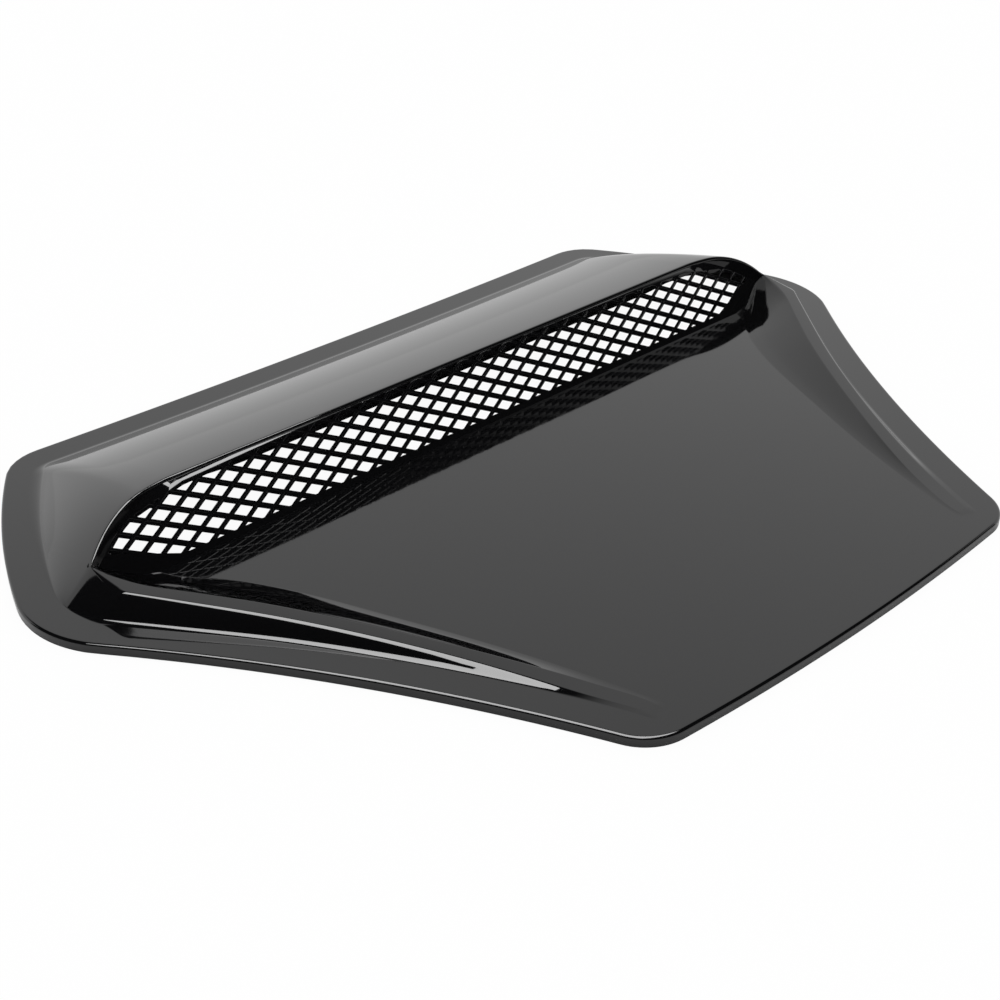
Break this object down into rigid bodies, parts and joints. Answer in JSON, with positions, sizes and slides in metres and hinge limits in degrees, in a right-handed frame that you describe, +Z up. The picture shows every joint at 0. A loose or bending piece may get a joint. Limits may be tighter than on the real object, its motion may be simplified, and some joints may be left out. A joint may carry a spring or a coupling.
{
  "type": "bonnet vent",
  "caption": "Gloss black moulded bonnet vent: a raised visor with a slanted diamond lattice mouth, and two side rails running forward on a flat flange.",
  "frame": {"origin": "middle of the vent's footprint, at the height where its rim rests on the bonnet", "axes": "+X across the car, +Y towards the windscreen, +Z up out of the bonnet; the lattice mouth looks forward, to -Y"},
  "size_m": [0.6064, 0.4344, 0.0422],
  "materials": {
    "gloss_black_abs": "gloss"
  },
  "bodies": {
    "root": {"bonnet_vent": "gloss_black_abs"}
  },
  "joints": []
}
